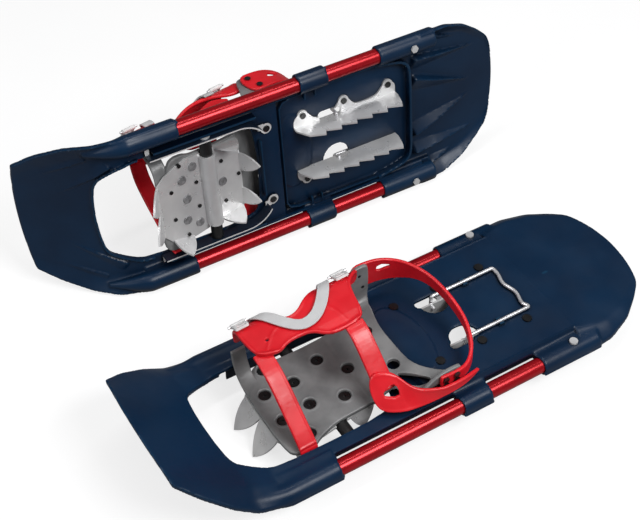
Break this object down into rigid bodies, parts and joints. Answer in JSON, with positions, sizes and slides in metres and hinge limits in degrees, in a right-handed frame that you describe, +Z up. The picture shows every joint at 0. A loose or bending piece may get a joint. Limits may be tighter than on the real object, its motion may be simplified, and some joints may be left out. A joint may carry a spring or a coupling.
{
  "type": "snowshoes",
  "caption": "Pair of moulded-deck snowshoes with pivoting crampon bindings, strapped harnesses and folding heel lifters; one lies flat, one stands on its edge.",
  "frame": {"origin": "middle of the left shoe's foot platform, on its top face", "axes": "+X towards the left shoe's toe, +Y to the wearer's left, +Z up"},
  "size_m": [0.5551, 0.4199, 0.1898],
  "materials": {
    "deck_plastic": "satin moulded plastic",
    "red_tube": "red anodised aluminium",
    "steel": "satin steel sheet",
    "wire": "bright steel wire",
    "black_metal": "blackened steel",
    "grey_metal": "dull grey steel",
    "black_plastic": "black plastic",
    "grey_plastic": "satin grey plastic",
    "red_rubber": "satin red flexible rubber",
    "webbing": "light woven webbing",
    "white_plastic": "white moulded plastic"
  },
  "bodies": {
    "left_frame": {"left_deck": "deck_plastic", "left_outer_tube": "red_tube", "left_inner_tube": "red_tube", "left_tail_screws": "steel", "left_outer_side_rail": "steel", "left_inner_side_rail": "steel", "left_side_rail_rivets": "black_metal", "left_pivot_rod": "steel", "left_pivot_bush": "black_plastic", "left_outer_heel_blade": "steel", "left_inner_heel_blade": "steel", "left_heel_blade_rivets": "black_metal", "left_lifter_clips": "deck_plastic"},
    "left_binding": {"left_toe_crampon": "steel", "left_binding_base": "grey_plastic", "left_crampon_studs": "grey_metal", "left_binding_screws": "black_metal", "left_toe_harness": "red_rubber", "left_inner_strap": "red_rubber", "left_front_strap": "red_rubber", "left_rear_strap": "red_rubber", "left_outer_strap": "red_rubber", "left_heel_strap": "red_rubber", "left_heel_strap_rivets": "black_metal", "left_pull_webbing": "webbing", "left_buckle_pins": "wire"},
    "left_lifter": {"left_heel_lifter": "wire"},
    "left_front_buckle": {"left_front_buckle": "white_plastic"},
    "left_rear_buckle": {"left_rear_buckle": "white_plastic"},
    "right_frame": {"right_deck": "deck_plastic", "right_outer_tube": "red_tube", "right_inner_tube": "red_tube", "right_tail_screws": "steel", "right_outer_side_rail": "steel", "right_inner_side_rail": "steel", "right_side_rail_rivets": "black_metal", "right_pivot_rod": "steel", "right_pivot_bush": "black_plastic", "right_outer_heel_blade": "steel", "right_inner_heel_blade": "steel", "right_heel_blade_rivets": "black_metal", "right_lifter_clips": "deck_plastic"},
    "right_binding": {"right_toe_crampon": "steel", "right_binding_base": "grey_plastic", "right_crampon_studs": "grey_metal", "right_binding_screws": "black_metal", "right_toe_harness": "red_rubber", "right_inner_strap": "red_rubber", "right_front_strap": "red_rubber", "right_rear_strap": "red_rubber", "right_outer_strap": "red_rubber", "right_heel_strap": "red_rubber", "right_heel_strap_rivets": "black_metal", "right_pull_webbing": "webbing", "right_buckle_pins": "wire"},
    "right_lifter": {"right_heel_lifter": "wire"},
    "right_front_buckle": {"right_front_buckle": "white_plastic"},
    "right_rear_buckle": {"right_rear_buckle": "white_plastic"}
  },
  "joints": [
    {"name": "left_binding_pitch", "type": "hinge", "parent": "left_frame", "child": "left_binding", "pos_m": [-0.00066, 0, -0.00948], "axis": [0, 1, 0], "range_deg": [-1.4, 38]},
    {"name": "left_lifter_fold", "type": "hinge", "parent": "left_frame", "child": "left_lifter", "pos_m": [-0.15266, 0, -0.00448], "axis": [0, 1, 0], "range_deg": [0, 95], "deforming": ["left_heel_strap"]},
    {"name": "left_front_buckle_flip", "type": "hinge", "parent": "left_binding", "child": "left_front_buckle", "pos_m": [0.04772, -0.0581, 0.05885], "axis": [0.9976, 0, -0.0698], "range_deg": [0, 40]},
    {"name": "left_rear_buckle_flip", "type": "hinge", "parent": "left_binding", "child": "left_rear_buckle", "pos_m": [-0.05952, -0.0581, 0.06635], "axis": [0.9976, 0, -0.0698], "range_deg": [0, 40]},
    {"name": "right_binding_pitch", "type": "hinge", "parent": "right_frame", "child": "right_binding", "pos_m": [-0.01786, -0.2318, 0.05862], "axis": [-0.003, -0.1175, 0.9931], "range_deg": [-6.8, 32.6]},
    {"name": "right_lifter_fold", "type": "hinge", "parent": "right_frame", "child": "right_lifter", "pos_m": [-0.16994, -0.23284, 0.05804], "axis": [-0.003, -0.1175, 0.9931], "range_deg": [0, 95], "deforming": ["right_heel_strap"]},
    {"name": "right_front_buckle_flip", "type": "hinge", "parent": "right_binding", "child": "right_front_buckle", "pos_m": [0.03491, -0.30304, 0.10886], "axis": [-0.9904, -0.1367, -0.0192], "range_deg": [0, 40]},
    {"name": "right_rear_buckle_flip", "type": "hinge", "parent": "right_binding", "child": "right_rear_buckle", "pos_m": [-0.07156, -0.31773, 0.10679], "axis": [-0.9904, -0.1367, -0.0192], "range_deg": [0, 40]},
    {"name": "right_shoe_lay_flat", "type": "hinge", "parent": "left_frame", "child": "right_frame", "pos_m": [-0.01786, -0.25366, 0.01711], "axis": [0.9997, -0.0258, 0], "range_deg": [-96.75, 0]}
  ]
}
